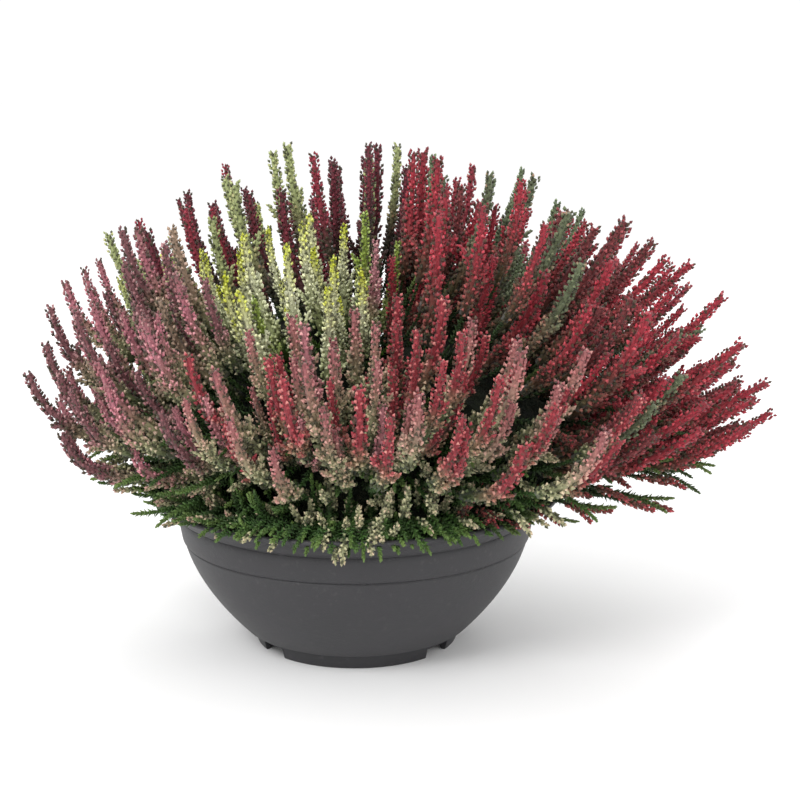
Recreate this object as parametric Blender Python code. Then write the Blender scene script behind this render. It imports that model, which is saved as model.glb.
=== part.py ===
"""Potted heather: a round planting bowl filled with eight bud-flowering heathers.

Metres, +Z up, -Y towards the front. The origin is on the bowl's axis, on the
plane that it stands on. Each plant is one body of leafy shoots, and its flower
spikes grow in sprays that sit on it.
"""
import math
import random

import bmesh
import bpy
import numpy as np
from mathutils import Matrix, Vector
from mathutils.bvhtree import BVHTree

# Bowl
RIM_RADIUS = 0.1405
RIM_HEIGHT = 0.108
BAND_RADIUS = 0.1215
BAND_HEIGHT = 0.0925
STEP_HEIGHT = 0.0755
STEP_DEPTH = 0.0008
SHOULDER = 0.0050
BASE_RADIUS = 0.0790
BASE_HEIGHT = 0.0120
WALL = 0.0026
FLOOR = 0.0030
FOOT_RADIUS = 0.0700
FOOT_WIDTH = 0.0040
FOOT_GAPS = (38, 142, 218, 322)
FOOT_GAP_WIDTH = 0.022
PAD_RADIUS = 0.014
DRAIN_RADIUS = 0.005
DRAIN_CIRCLE = 0.045
DRAINS = 6
BOWL_SEGMENTS = 30

# Soil
FIT = 0.0003
SOIL_TOP = 0.099
SOIL_EDGE_DROP = 0.004
SOIL_FLAT = 0.110
ROOT_RADIUS = 0.007
ROOT_DEPTH = 0.012
ROOT_SPREAD = 0.009
HOLE_CLEARANCE = 0.0005

# Planting, as a dome of spike tips round the middle of the soil
HEART = Vector((0.0, 0.0, 0.107))
DOME_SHIFT = 0.030
REACH_LEFT = 0.250
REACH_RIGHT = 0.264
REACH_FRONT = 0.188
REACH_BACK = 0.195
TIP_LOW = 0.162
LIFT_FRONT = 0.022
SINK_FRONT = 0.026
TIP_HIGH = 0.345
SPREAD = 0.85
SPREAD_RIGHT = 0.15
RISE = 0.60
RISE_RIGHT = 0.90
RISE_LEFT = 0.25
CORE_SCALE = 0.54
FOOT_SHARE = 0.80
LEAN_LEFT = 10
LEAN_RIGHT = 62
LEAN_FRONT = 18
LEAN_BACK = 36
LEAN_GROWTH = 1.4
SPIKES = 226
CROWDING = 1.2
LOWEST = 91
JITTER = 2.5
LEAN_JITTER = 5
SIDE_JITTER = 12
BOW = 0.55
SHOOTS = 64
FRINGE = 48
TIP_NEAR = 0.90
TIP_FAR = 1.03
SHOOT_NEAR = 0.72
SHOOT_FAR = 0.80
FRINGE_NEAR = 0.80
FRINGE_FAR = 0.88
FRINGE_LOW = 0.124
FRINGE_HIGH = 0.138
FRINGE_DROOP = 0.020
SPRAY_SIZE = 5
GOLDEN = math.pi * (3 - math.sqrt(5))

# Each plant's crown in the soil, its height beside the dome's, and its colours
PLANTS = {
    "pink": {"crown": (-0.088, -0.044), "height": 0.97, "flower": (0.52, 0.16, 0.22)},
    "blush": {"crown": (-0.018, -0.098), "height": 0.75, "flower": (0.62, 0.22, 0.26)},
    "lime": {"crown": (-0.034, -0.022), "height": 0.86, "flower": (0.55, 0.62, 0.16)},
    "maroon": {"crown": (-0.030, 0.042), "height": 1.02, "flower": (0.16, 0.02, 0.05)},
    "pale": {"crown": (-0.055, 0.088), "height": 1.06, "flower": (0.42, 0.46, 0.22)},
    "crimson": {"crown": (0.066, -0.036), "height": 0.97, "flower": (0.42, 0.03, 0.07)},
    "grey": {"crown": (0.052, 0.078), "height": 0.99, "flower": (0.16, 0.20, 0.12)},
    "cream": {"crown": (0.046, -0.094), "height": 0.77, "flower": (0.60, 0.50, 0.36)},
}
LEAF_COLOUR = (0.05, 0.13, 0.03)

# A spike's rings, from its foot to its tip: share of the length, and radius
FLOWER_LENGTH = 0.082
SPIKE_RINGS = ((0.00, 0.0015), (0.16, 0.0060), (0.38, 0.0040), (0.60, 0.0060),
               (0.84, 0.0044), (1.00, 0.0018))
SHOOT_RINGS = ((0.25, 0.0020), (0.50, 0.0046), (0.74, 0.0024), (1.00, 0.0010))
HUB_FOOT = 0.0034
HUB_TOP = 0.0022
HUB_HEIGHT = 0.0050
HUB_REACH = 0.0054
SPACE = 0.0006
PATH_POINTS = 26
NEAR_HUB = 3
PAST_HUB = 6
ASIDE = 0.010
SHOOT_FOOT = 0.150


def material(name, colour, roughness):
    made = bpy.data.materials.new(name)
    made.use_nodes = True
    shader = made.node_tree.nodes["Principled BSDF"]
    shader.inputs["Base Color"].default_value = (*colour, 1)
    shader.inputs["Roughness"].default_value = roughness
    shader.inputs["Metallic"].default_value = 0
    return made


def add_object(name, bm, finish):
    mesh = bpy.data.meshes.new(name)
    bm.to_mesh(mesh)
    bm.free()
    mesh.materials.append(finish)
    made = bpy.data.objects.new(name, mesh)
    bpy.context.scene.collection.objects.link(made)
    return made


def join(target, parts, operation="UNION"):
    """Joins or cuts the target with all the parts in one Boolean, then removes them."""
    group = bpy.data.collections.new("parts_of_" + target.name)
    for part in parts:
        group.objects.link(part)
    boolean = target.modifiers.new("join", "BOOLEAN")
    boolean.operand_type = "COLLECTION"
    boolean.collection = group
    boolean.operation = operation
    boolean.solver = "EXACT"
    bpy.context.view_layer.update()
    evaluated = target.evaluated_get(bpy.context.evaluated_depsgraph_get())
    result = bpy.data.meshes.new_from_object(evaluated)
    target.modifiers.clear()
    target.data = result
    for part in parts:
        bpy.data.objects.remove(part)
    bpy.data.collections.remove(group)


# Bowl and soil

def bowl_side(count, inwards=0.0, upwards=0.0):
    """The bowl's rounded side from its base to the flared band, as (radius, height) points."""
    side = []
    for i in range(count + 1):
        share = (i / count) ** 1.6
        side.append((BASE_RADIUS + (BAND_RADIUS - BASE_RADIUS) * (1 - (1 - share) ** 1.9) - inwards,
                     BASE_HEIGHT + (BAND_HEIGHT - BASE_HEIGHT) * share + upwards))
    return side


def bowl_profile():
    """The bowl's section: pad and foot, rounded side with its shallow step, flare, inside."""
    under = BASE_HEIGHT - FLOOR
    foot_inner = FOOT_RADIUS - FOOT_WIDTH
    bottom = [(0, 0), (PAD_RADIUS, 0), (PAD_RADIUS + 0.002, under), (foot_inner, under),
              (foot_inner, 0), (FOOT_RADIUS, 0), (FOOT_RADIUS + 0.002, under)]
    side = bowl_side(6)
    below = [(r, z) for r, z in side if z < STEP_HEIGHT]
    above = [(r + STEP_DEPTH, z) for r, z in side if z > STEP_HEIGHT]
    step_radius = np.interp(STEP_HEIGHT, [z for r, z in side], [r for r, z in side])
    step = [(step_radius, STEP_HEIGHT - STEP_DEPTH), (step_radius + STEP_DEPTH, STEP_HEIGHT)]
    shoulder = BAND_RADIUS + SHOULDER
    flare = [(BAND_RADIUS + STEP_DEPTH + 0.0010, BAND_HEIGHT + 0.0006), (shoulder, BAND_HEIGHT + 0.006),
             (RIM_RADIUS - 0.0040, RIM_HEIGHT - 0.0042), (RIM_RADIUS, RIM_HEIGHT - 0.0020),
             (RIM_RADIUS - 0.0030, RIM_HEIGHT)]
    inside = [(shoulder - WALL, BAND_HEIGHT + 0.0085)]
    inside += reversed(bowl_side(3, inwards=WALL, upwards=WALL * 0.4))
    return bottom + below + step + above + flare + inside + [(0, BASE_HEIGHT)]


def spin_profile(profile, segments):
    """Turns a profile that starts and ends on the axis into one closed solid."""
    bm = bmesh.new()
    verts = [bm.verts.new((r, 0, z)) for r, z in profile]
    edges = [bm.edges.new(pair) for pair in zip(verts, verts[1:])]
    bmesh.ops.spin(bm, geom=verts + edges, cent=(0, 0, 0), axis=(0, 0, 1), angle=math.tau,
                   steps=segments, use_merge=True, use_duplicate=False)
    bmesh.ops.remove_doubles(bm, verts=bm.verts, dist=0.00001)
    bmesh.ops.recalc_face_normals(bm, faces=bm.faces)
    return bm


def cylinder(name, place, radius, low, high, sides, finish):
    bm = bmesh.new()
    bmesh.ops.create_cone(bm, cap_ends=True, segments=sides, radius1=radius, radius2=radius,
                          depth=high - low,
                          matrix=Matrix.Translation((place[0], place[1], (low + high) / 2)))
    return add_object(name, bm, finish)


def foot_gap(angle, finish):
    """A cutter that opens the foot ring, so that water drains from under the bowl."""
    bm = bmesh.new()
    bmesh.ops.create_cube(bm, size=1)
    bmesh.ops.scale(bm, vec=(0.030, FOOT_GAP_WIDTH, 0.016), verts=bm.verts)
    bmesh.ops.translate(bm, vec=(FOOT_RADIUS, 0, -0.001), verts=bm.verts)
    bmesh.ops.rotate(bm, cent=(0, 0, 0), matrix=Matrix.Rotation(math.radians(angle), 3, "Z"),
                     verts=bm.verts)
    return add_object("foot_gap", bm, finish)


def make_pot():
    plastic = material("grey_plastic", (0.070, 0.070, 0.074), 0.5)
    pot = add_object("pot", spin_profile(bowl_profile(), BOWL_SEGMENTS), plastic)
    cutters = [foot_gap(angle, plastic) for angle in FOOT_GAPS]
    for i in range(DRAINS):
        turn = math.tau * i / DRAINS
        place = (DRAIN_CIRCLE * math.cos(turn), DRAIN_CIRCLE * math.sin(turn))
        cutters.append(cylinder("drain", place, DRAIN_RADIUS, 0, BASE_HEIGHT + 0.01, 8, plastic))
    join(pot, cutters, "DIFFERENCE")
    pot.data.shade_smooth()
    pot.data.set_sharp_from_angle(angle=math.radians(35))
    return pot


def make_soil():
    earth = material("dark_soil", (0.035, 0.024, 0.016), 0.95)
    wall = bowl_side(3, inwards=WALL + FIT * 1.5, upwards=WALL * 0.4 + FIT)
    edge = BAND_RADIUS - WALL - FIT * 1.5
    profile = [(0, BASE_HEIGHT + FIT)] + wall
    profile += [(edge, SOIL_TOP - SOIL_EDGE_DROP), (SOIL_FLAT + 0.002, SOIL_TOP), (0, SOIL_TOP)]
    soil = add_object("soil", spin_profile(profile, BOWL_SEGMENTS), earth)
    holes = [cylinder("hole", plant["crown"], ROOT_RADIUS + HOLE_CLEARANCE,
                      SOIL_TOP - ROOT_DEPTH - FIT, SOIL_TOP + 0.01, 8, earth)
             for plant in PLANTS.values()]
    join(soil, holes, "DIFFERENCE")
    return soil


# Layout of the spikes and shoots

def dome_point(polar, azimuth, height):
    """A point of the dome that the tips lie on; azimuth 0 is +X, and -90 degrees the front."""
    right = max(math.cos(azimuth), 0) ** 2
    spread = math.sin(min(polar, math.pi / 2)) ** (SPREAD + SPREAD_RIGHT * right)
    reach_x = REACH_RIGHT if math.cos(azimuth) > 0 else REACH_LEFT
    reach_y = REACH_BACK if math.sin(azimuth) > 0 else REACH_FRONT
    left = max(-math.cos(azimuth), 0) ** 2
    rise = max(math.cos(polar), 0) ** (RISE + RISE_RIGHT * right + RISE_LEFT * left)
    low = TIP_LOW + LIFT_FRONT * max(-math.sin(azimuth), 0) ** 2
    return Vector((DOME_SHIFT + reach_x * spread * math.cos(azimuth),
                   reach_y * spread * math.sin(azimuth),
                   low + (TIP_HIGH * height - low) * rise))


def lean_of(polar, azimuth):
    """How far a spike at this place leans out from upright, in radians."""
    across = math.cos(azimuth) ** 2
    sideways = LEAN_RIGHT if math.cos(azimuth) > 0 else LEAN_LEFT
    forwards = LEAN_BACK if math.sin(azimuth) > 0 else LEAN_FRONT
    lean = sideways * across + forwards * (1 - across)
    return math.radians(lean) * math.sin(min(polar, math.pi / 2)) ** LEAN_GROWTH


def root_of(tip, scale=CORE_SCALE):
    """Where a spike with this tip leaves its plant, which is lower towards the front."""
    root = HEART.lerp(tip, scale)
    root.z -= SINK_FRONT * max(-tip.y, 0) / REACH_FRONT
    return root


def plant_at(point):
    """The plant whose crown is nearest to the place under this point of the dome."""
    foot = HEART.lerp(point, CORE_SCALE)
    return min(PLANTS, key=lambda name: (Vector(PLANTS[name]["crown"]) - foot.xy).length)


def spread_tips():
    """Tips at even spacing over the dome, by the golden angle, each with its direction."""
    draw = random.Random(11)
    tips = {name: [] for name in PLANTS}
    low = math.cos(math.radians(LOWEST))
    for i in range(SPIKES):
        share = ((i + 0.5) / SPIKES) ** CROWDING
        polar = math.acos(1 - share * (1 - low)) + math.radians(draw.uniform(-JITTER, JITTER))
        azimuth = i * GOLDEN + math.radians(draw.uniform(-JITTER, JITTER))
        name = plant_at(dome_point(abs(polar), azimuth, 1))
        tip = dome_point(abs(polar), azimuth, PLANTS[name]["height"])
        tip = HEART.lerp(tip, draw.uniform(TIP_NEAR, TIP_FAR))
        lean = lean_of(abs(polar), azimuth) + math.radians(draw.uniform(-LEAN_JITTER, LEAN_JITTER))
        side = azimuth + math.radians(draw.uniform(-SIDE_JITTER, SIDE_JITTER))
        aim = Vector((math.sin(lean) * math.cos(side), math.sin(lean) * math.sin(side),
                      math.cos(lean)))
        tips[name].append((tip, aim))
    return tips


def group_sprays(tips):
    """Takes the outermost tip left and its nearest neighbours as one spray, until none is left."""
    left = list(tips)
    sprays = []
    while left:
        outer = max(left, key=lambda one: (one[0].xy - HEART.xy).length)
        left.sort(key=lambda one: (one[0] - outer[0]).length)
        sprays.append(left[:SPRAY_SIZE])
        left = left[SPRAY_SIZE:]
    return sprays


def curve_point(start, bend, end, share):
    return start.lerp(bend, share).lerp(bend.lerp(end, share), share)


def path_of(start, tip, aim, count):
    """Points from a stem's start to its tip, which it reaches along its aim."""
    bend = tip - aim * (tip - start).length * BOW
    return [curve_point(start, bend, tip, i / (count - 1)) for i in range(count)]


def straight_foot(path, share):
    """The same path with a straight stem up to this share of it."""
    last = round(share * (len(path) - 1))
    return [path[0].lerp(path[last], i / last) for i in range(last)] + path[last:]


class Room:
    """Remembers the space that stems take, so that no two of them touch."""

    def __init__(self, cores=()):
        self.cores = cores
        self.points = np.zeros((0, 3))
        self.radii = np.zeros(0)

    def is_free(self, points, radii):
        """Whether a stem stays clear of those that took their space before it."""
        if len(self.points) == 0:
            return True
        apart = np.linalg.norm(self.points[:, None] - points[None], axis=2)
        return bool((apart - self.radii[:, None] - radii[None]).min() > SPACE)

    def fits(self, points, radii, own_core=None):
        """Whether a stem stays clear of the others, of every plant's core but its own, and the rim."""
        others = [core for core in self.cores if core is not own_core]
        if not all(core.is_clear(points, radii) for core in others):
            return False
        from_axis = np.linalg.norm(points[:, :2], axis=1)
        over_bowl = from_axis < RIM_RADIUS + radii + SPACE
        if (over_bowl & (points[:, 2] < RIM_HEIGHT + radii + SPACE)).any():
            return False
        return self.is_free(points, radii)

    def take(self, points, radii):
        self.points = np.vstack([self.points, points])
        self.radii = np.concatenate([self.radii, radii])


# Plants

def core_hull(name, tips):
    """The dense, woody inside of a plant, which its shoots and sprays stand out of."""
    bm = bmesh.new()
    for tip, aim in tips:
        bm.verts.new(root_of(tip))
    crown = Vector(PLANTS[name]["crown"])
    feet = [crown.lerp(root_of(tip).xy, FOOT_SHARE) for tip, aim in tips]
    for i in range(6):
        turn = math.tau * i / 6
        feet.append(crown + Vector((math.cos(turn), math.sin(turn))) * ROOT_SPREAD)
    for foot in feet:
        foot *= min(1, SOIL_FLAT / foot.length)
        bm.verts.new((foot.x, foot.y, SOIL_TOP + FIT))
    hull = bmesh.ops.convex_hull(bm, input=bm.verts, use_existing_faces=False)
    loose = [item for item in hull["geom_interior"] if isinstance(item, bmesh.types.BMVert)]
    bmesh.ops.delete(bm, geom=loose, context="VERTS")
    bmesh.ops.recalc_face_normals(bm, faces=bm.faces)
    return bm


class Core:
    """A plant's core as a surface that sprays and shoots are seated on."""

    def __init__(self, bm):
        self.tree = BVHTree.FromBMesh(bm)
        self.middle = sum((vert.co for vert in bm.verts), Vector()) / len(bm.verts)
        self.normals = np.array([tuple(face.normal) for face in bm.faces])
        corners = np.array([tuple(face.verts[0].co) for face in bm.faces])
        self.offsets = (self.normals * corners).sum(axis=1)

    def seat(self, tip):
        """The spot of the surface under a tip, and the way that it faces."""
        inner = self.middle.lerp(root_of(tip), 0.7)
        spot, normal, face, far = self.tree.ray_cast(tip, (inner - tip).normalized())
        if spot is None:
            spot, normal, face, far = self.tree.ray_cast(tip, (self.middle - tip).normalized())
        return spot, normal

    def is_clear(self, points, radii):
        """Whether each point is out past one of the core's flats by more than its radius."""
        heights = points @ self.normals.T - self.offsets
        return bool((heights.max(axis=1) > radii + SPACE).all())


def four_sided(bm, place, radius_low, radius_high, depth):
    """A short four-sided stub; returns its side faces and its top face."""
    made = bmesh.ops.create_cone(bm, cap_ends=True, segments=4, radius1=radius_low * math.sqrt(2),
                                 radius2=radius_high * math.sqrt(2), depth=depth, matrix=place)
    faces = {face for vert in made["verts"] for face in vert.link_faces}
    up = place.to_3x3() @ Vector((0, 0, 1))
    for face in faces:
        face.normal_update()
    ordered = sorted(faces, key=lambda face: face.normal.dot(up))
    return ordered[1:-1], ordered[-1]


def grow(bm, face, path, rings):
    """Extrudes a face along a path, ring by ring, each turned against the last."""
    lengths = [0]
    for near, far in zip(path, path[1:]):
        lengths.append(lengths[-1] + (far - near).length)
    for index, (share, radius) in enumerate(rings):
        at = share * lengths[-1]
        step = max(i for i, length in enumerate(lengths[:-1]) if length <= at + 1e-9)
        along = (path[step + 1] - path[step]).normalized()
        centre = path[step] + along * (at - lengths[step])
        face = bmesh.ops.extrude_discrete_faces(bm, faces=[face])["faces"][0]
        middle = face.calc_center_median()
        first = face.verts[0].co - middle
        first = (first - along * first.dot(along)).normalized()
        second = along.cross(first)
        turn = 0 if index == 0 else math.radians(45) * (1 if index % 2 else -1)
        for i, vert in enumerate(face.verts):
            angle = math.radians(90) * i + turn
            vert.co = centre + (first * math.cos(angle) + second * math.sin(angle)) * radius
        face.normal_update()


def spike_space(path, reach, radius_root, radius_low, radius_high):
    """Sample points and radii along a stem that tapers from its root, then is as thick as its flowers."""
    points = np.array([tuple(point) for point in path])
    steps = np.linalg.norm(np.diff(points, axis=0), axis=1)
    to_tip = steps.sum() - np.concatenate([[0], np.cumsum(steps)])
    climbed = np.clip((steps.sum() - to_tip) / max(steps.sum() - reach, SPACE), 0, 1)
    radii = radius_root + (radius_low - radius_root) * climbed
    radii = np.where(to_tip < reach * 0.93, radius_high, radii)
    radii = np.where(to_tip < reach * 0.2, radius_high * 0.8, radii)
    return points, radii


def hub_place(core, spray, room):
    """Where a spray sits on its plant: a free spot just off one flat of the core, facing out."""
    middle = sum((tip for tip, aim in spray), Vector()) / len(spray)
    size = np.array([HUB_REACH])
    for target in [middle] + [middle.lerp(tip, 0.6) for tip, aim in spray]:
        spot, normal = core.seat(target)
        centre = spot + normal * (FIT + HUB_HEIGHT / 2)
        if room.fits(np.array([tuple(centre)]), size, core):
            break
    else:
        return None, None
    turn = normal.to_track_quat("Z", "Y").to_matrix().to_4x4()
    return Matrix.Translation(centre) @ turn, normal


def match_faces(sides, top, spray, normal, centre):
    """Pairs each spike with the hub's face that points most its way, the straightest with the top."""
    pairs = []
    free = list(sides)
    order = sorted(spray, key=lambda one: (one[0] - centre).normalized().dot(normal))
    for tip, aim in order:
        way = (tip - centre).normalized()
        face = max(free, key=lambda one: one.normal.dot(way)) if free else top
        if free:
            free.remove(face)
        pairs.append((face, tip, aim))
    return pairs


def find_path(start, tip, aim, core, room, own):
    """A free path to the tip or beside it: its points, its stem's share, and the space it takes."""
    side = aim.orthogonal().normalized()
    other = aim.cross(side)
    for aside in (Vector(), side, -side, other, -other):
        path = path_of(start, tip + aside * ASIDE, aim, PATH_POINTS)
        length = sum((b - a).length for a, b in zip(path, path[1:]))
        flower = min(FLOWER_LENGTH, length * 0.8)
        foot = 1 - flower / length
        path = straight_foot(path, foot)
        points, radii = spike_space(path, flower, HUB_FOOT, SPIKE_RINGS[0][1], SPIKE_RINGS[1][1])
        outer = (points[NEAR_HUB:], radii[NEAR_HUB:])
        if (room.is_free(points, radii) and room.fits(*outer, core) and core.is_clear(*outer)
                and own.is_free(points[PAST_HUB:], radii[PAST_HUB:])):
            return path, foot, points, radii
    return None


def make_spray(name, core, spray, room, finish):
    """One spray: a woody knot on the plant, with a spike of buds from each free face."""
    place, normal = hub_place(core, spray, room)
    if place is None:
        return
    bm = bmesh.new()
    sides, top = four_sided(bm, place, HUB_FOOT, HUB_TOP, HUB_HEIGHT)
    taken = []
    own = Room()
    for face, tip, aim in match_faces(sides, top, spray, normal, place.translation):
        found = find_path(face.calc_center_median(), tip, aim, core, room, own)
        if found is None:
            continue
        path, foot, points, radii = found
        taken.append((points, radii))
        own.take(points[PAST_HUB:], radii[PAST_HUB:])
        grow(bm, face, path, [(foot + share * (1 - foot), radius) for share, radius in SPIKE_RINGS])
    room.take(np.array([tuple(place.translation)]), np.array([HUB_REACH]))
    for points, radii in taken:
        room.take(points, radii)
    bmesh.ops.triangulate(bm, faces=bm.faces, quad_method="SHORT_EDGE")
    if taken:
        add_object(name, bm, finish)


def make_shoot(core, tip, aim, room, finish):
    """One leafy shoot, rooted in the plant's core and as long as there is room for, or nothing."""
    spot, normal = core.seat(Vector((tip.x, tip.y, max(tip.z, SHOOT_FOOT))))
    for reach in (1, 0.8, 0.6):
        path = path_of(spot, spot.lerp(tip, reach), aim, 20)
        length = (path[-1] - path[0]).length
        root, thick = SHOOT_RINGS[0][1], SHOOT_RINGS[1][1]
        points, radii = spike_space(path, length * 0.8, root, root, thick)
        if room.fits(points, radii, core):
            break
    else:
        return None
    room.take(points, radii)
    bm = bmesh.new()
    along = (path[1] - path[0]).normalized()
    turn = along.to_track_quat("Z", "Y").to_matrix().to_4x4()
    sides, top = four_sided(bm, Matrix.Translation(spot - along * root) @ turn, root, root, root * 2)
    grow(bm, top, path, SHOOT_RINGS)
    bmesh.ops.triangulate(bm, faces=bm.faces, quad_method="SHORT_EDGE")
    return add_object("shoot", bm, finish)


def shoot_tips():
    """Leafy shoots: short ones among the spikes, and a fringe that hangs over the rim."""
    draw = random.Random(23)
    tips = {name: [] for name in PLANTS}
    for i in range(SHOOTS):
        polar = math.acos(1 - (i + 0.5) / SHOOTS)
        azimuth = (i + 0.5) * GOLDEN + 0.8
        point = dome_point(polar, azimuth, 0.97)
        tip = HEART.lerp(point, draw.uniform(SHOOT_NEAR, SHOOT_FAR))
        lean = lean_of(polar, azimuth)
        aim = Vector((math.sin(lean) * math.cos(azimuth), math.sin(lean) * math.sin(azimuth),
                      math.cos(lean)))
        tips[plant_at(point)].append((tip, aim))
    for i in range(FRINGE):
        azimuth = math.tau * (i + draw.uniform(-0.2, 0.2)) / FRINGE
        edge = dome_point(math.pi / 2, azimuth, 1)
        tip = HEART.lerp(edge, draw.uniform(FRINGE_NEAR, FRINGE_FAR))
        droop = FRINGE_DROOP * max(-math.sin(azimuth), 0) ** 6
        tip.z = draw.uniform(FRINGE_LOW, FRINGE_HIGH) - droop
        out = Vector((math.cos(azimuth), math.sin(azimuth), 0))
        aim = (out + Vector((0, 0, draw.uniform(-1.3, -0.7)))).normalized()
        tips[plant_at(edge)].append((tip, aim))
    return tips


def make_plants():
    leaf = material("heather_leaf", LEAF_COLOUR, 0.7)
    tips = spread_tips()
    green_tips = shoot_tips()
    cores = {name: core_hull(name, tips[name]) for name in PLANTS}
    seats = {name: Core(core) for name, core in cores.items()}
    room = Room(list(seats.values()))
    for name, plant in PLANTS.items():
        bloom = material(name + "_buds", plant["flower"], 0.75)
        for index, spray in enumerate(group_sprays(tips[name]), 1):
            make_spray("%s_spray_%02d" % (name, index), seats[name], spray, room, bloom)
    for name, plant in PLANTS.items():
        greens = add_object(name + "_greens", cores[name], leaf)
        parts = [make_shoot(seats[name], tip, aim, room, leaf) for tip, aim in green_tips[name]]
        parts = [part for part in parts if part]
        parts.append(cylinder("root", plant["crown"], ROOT_RADIUS, SOIL_TOP - ROOT_DEPTH,
                              SOIL_TOP + 0.006, 8, leaf))
        join(greens, parts)


def main():
    for item in list(bpy.data.objects):
        bpy.data.objects.remove(item)
    make_pot()
    make_soil()
    make_plants()


main()
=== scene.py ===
import math
import random

import bmesh
import bpy
import numpy as np
from mathutils import Matrix, Vector, noise


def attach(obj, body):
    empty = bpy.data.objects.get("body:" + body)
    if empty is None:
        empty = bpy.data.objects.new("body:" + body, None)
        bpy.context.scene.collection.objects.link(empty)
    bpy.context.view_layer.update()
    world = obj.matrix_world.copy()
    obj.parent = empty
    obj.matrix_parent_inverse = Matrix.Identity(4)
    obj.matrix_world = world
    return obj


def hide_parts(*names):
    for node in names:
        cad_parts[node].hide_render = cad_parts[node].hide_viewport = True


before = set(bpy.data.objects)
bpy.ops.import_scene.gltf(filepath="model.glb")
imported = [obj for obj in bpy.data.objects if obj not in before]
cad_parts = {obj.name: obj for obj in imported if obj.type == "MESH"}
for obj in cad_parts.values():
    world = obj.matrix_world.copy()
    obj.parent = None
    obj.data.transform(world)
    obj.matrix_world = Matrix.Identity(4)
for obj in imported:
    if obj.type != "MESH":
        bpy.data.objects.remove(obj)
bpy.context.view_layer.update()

# Camera, as the photograph was taken
PHOTO_SIDE = 800
FOCAL_PIXELS = 1571.2
SENSOR = 36.0
CAMERA_PLACE = (0.0303, -1.0566, 0.3816)
CAMERA_PITCH = 11.44

# Lights, each with its place, its width and its power in watts
WORLD_STRENGTH = 1.05
LIGHTS = {
    "key": ((-1.0, -1.7, 1.9), 0.9, 30),
    "fill": ((1.7, -1.1, 1.1), 1.2, 6),
    "back": ((0.3, 1.8, 1.6), 1.2, 10),
}
LIT_PLACE = Vector((0.03, 0, 0.15))
FLOOR_RADIUS = 30

# Bowl
RIM_RADIUS = 0.1405
RIM_HEIGHT = 0.108
BAND_RADIUS = 0.1215
BAND_HEIGHT = 0.0925
STEP_HEIGHT = 0.0755
STEP_DEPTH = 0.0008
SHOULDER = 0.0050
BASE_RADIUS = 0.0790
BASE_HEIGHT = 0.0120
WALL = 0.0026
FLOOR = 0.0030
FOOT_RADIUS = 0.0700
FOOT_WIDTH = 0.0040
FOOT_GAPS = (38, 142, 218, 322)
FOOT_GAP_WIDTH = 0.022
FOOT_GAP_LENGTH = 0.030
FOOT_GAP_DEPTH = 0.016
FOOT_GAP_SINK = 0.001
FOOT_SLOPE = 0.002
PAD_RADIUS = 0.014
DRAIN_RADIUS = 0.005
DRAIN_CIRCLE = 0.045
DRAINS = 6
DRAIN_SEGMENTS = 24
BOWL_SEGMENTS = 144
SIDE_RINGS = 26
INSIDE_RINGS = 8
WALL_RISE = WALL * 0.4
SHARP_ANGLE = 38

# Rounded corners of the bowl's section, as steps outwards and up from each corner
EDGE = 0.0006
STEP_GROOVE = ((-0.0006, -0.0024), (-0.0011, -0.0014), (-0.0008, -0.0009),
               (STEP_DEPTH * 0.7, -0.0003), (STEP_DEPTH, 0))
BAND_GROOVE = ((-0.0004, -0.0014), (-0.0010, -EDGE), (-0.0009, 0.0001), (0.0008, EDGE),
               (0.0018, 0.0016), (0.0028, 0.0030))
BAND_SHOULDER = ((0, 0.0060), (0.0046, 0.0088))
RIM_LIP = ((-0.0040, -0.0042), (-0.0012, -0.0032), (-0.0002, -0.0026), (0, -0.0020),
           (-0.0004, -0.0008), (-0.0014, -0.0001), (-0.0026, 0), (-0.0036, -0.0006))
INNER_LIP = ((0.0030, 0.0104), (0, 0.0085))
BELOW_STEP = 0.0030
BELOW_BAND = 0.0020

# Soil, with its lumps as a fineness and a height each
FIT = 0.0003
SOIL_TOP = 0.099
SOIL_EDGE_DROP = 0.004
SOIL_FLAT = 0.110
SOIL_SEGMENTS = 72
SOIL_RINGS = 22
SOIL_SIDE_RINGS = 4
SOIL_CLEAR = FIT * 1.5
SOIL_LEVEL = SOIL_TOP - 0.001
LUMP_EDGE = 0.001
LUMPS = ((190, 0.0022), (520, 0.0012))
ROOT_SPREAD = 0.009
CROWN_SIDES = 6

# Planting, as a dome of spike tips round the middle of the soil
HEART = Vector((0.0, 0.0, 0.107))
DOME_SHIFT = 0.030
REACH_LEFT = 0.250
REACH_RIGHT = 0.264
REACH_FRONT = 0.188
REACH_BACK = 0.195
TIP_LOW = 0.162
LIFT_FRONT = 0.022
SINK_FRONT = 0.026
TIP_HIGH = 0.345
SPREAD = 0.85
SPREAD_RIGHT = 0.15
RISE = 0.60
RISE_RIGHT = 0.90
RISE_LEFT = 0.25
CORE_SCALE = 0.54
INNER_SCALE = CORE_SCALE * 0.96
FOOT_SCALE = CORE_SCALE * 0.94
FOOT_SHARE = 0.80
LEAN_LEFT = 10
LEAN_RIGHT = 62
LEAN_FRONT = 18
LEAN_BACK = 36
LEAN_GROWTH = 1.4
SPIKES = 226
INFILL = 188
CROWDING = 1.2
LOWEST = 91
JITTER = 2.5
LEAN_JITTER = 5
SIDE_JITTER = 12
BOW = 0.55
SPRAY_SIZE = 5
FLOWER_LENGTH = 0.082
GOLDEN = math.pi * (3 - math.sqrt(5))

# Seeds of the random draws; how far out the tips of the spikes and of the shorter spikes between
# them stand, as shares of the way to the dome; and the angle at which the shorter ones start
SPIKE_SEED = 11
SPIKE_REACH = (0.90, 1.03)
INFILL_SEED = 37
INFILL_REACH = (0.74, 0.93)
INFILL_START = 1.1
GROWTH_SEED = 5

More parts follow.
